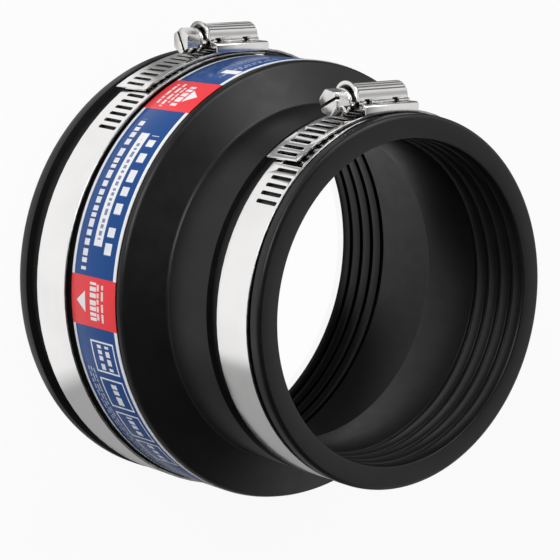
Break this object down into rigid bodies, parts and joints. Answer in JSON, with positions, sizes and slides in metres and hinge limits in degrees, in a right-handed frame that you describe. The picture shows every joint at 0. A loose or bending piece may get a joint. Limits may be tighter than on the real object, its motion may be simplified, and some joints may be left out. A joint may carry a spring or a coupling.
{
  "type": "pipe adapter coupling",
  "caption": "Stepped rubber sleeve that joins two pipes of different sizes, with inner sealing grooves, a printed wrap and a worm-drive band clamp on each end.",
  "frame": {"origin": "on the ground under the large end, in the middle of the whole part seen from above", "axes": "+Z along the pipe axis from the large end to the small end; +Y towards the clamp housings; +X completes the right-handed set. The pipe axis crosses the ground at y = -4.725 mm."},
  "size_m": [0.138, 0.1476, 0.1],
  "materials": {
    "rubber": "satin black moulded rubber",
    "wrap": "glossy printed film",
    "band": "polished stainless strip",
    "housing": "pressed stainless sheet",
    "screw": "turned stainless"
  },
  "bodies": {
    "coupling": {"sleeve": "rubber", "label": "wrap", "small_clamp_band": "band", "small_clamp_saddle": "housing", "small_clamp_housing": "housing", "large_clamp_band": "band", "large_clamp_saddle": "housing", "large_clamp_housing": "housing"},
    "small_screw": {"small_clamp_screw": "screw"},
    "large_screw": {"large_clamp_screw": "screw"}
  },
  "joints": [
    {"name": "small_screw_turn", "type": "hinge", "parent": "coupling", "child": "small_screw", "pos_m": [-0.017, 0.05398, 0.0875], "axis": [1, 0, 0], "continuous": true},
    {"name": "large_screw_turn", "type": "hinge", "parent": "coupling", "child": "large_screw", "pos_m": [-0.017, 0.06788, 0.0178], "axis": [1, 0, 0], "continuous": true}
  ]
}
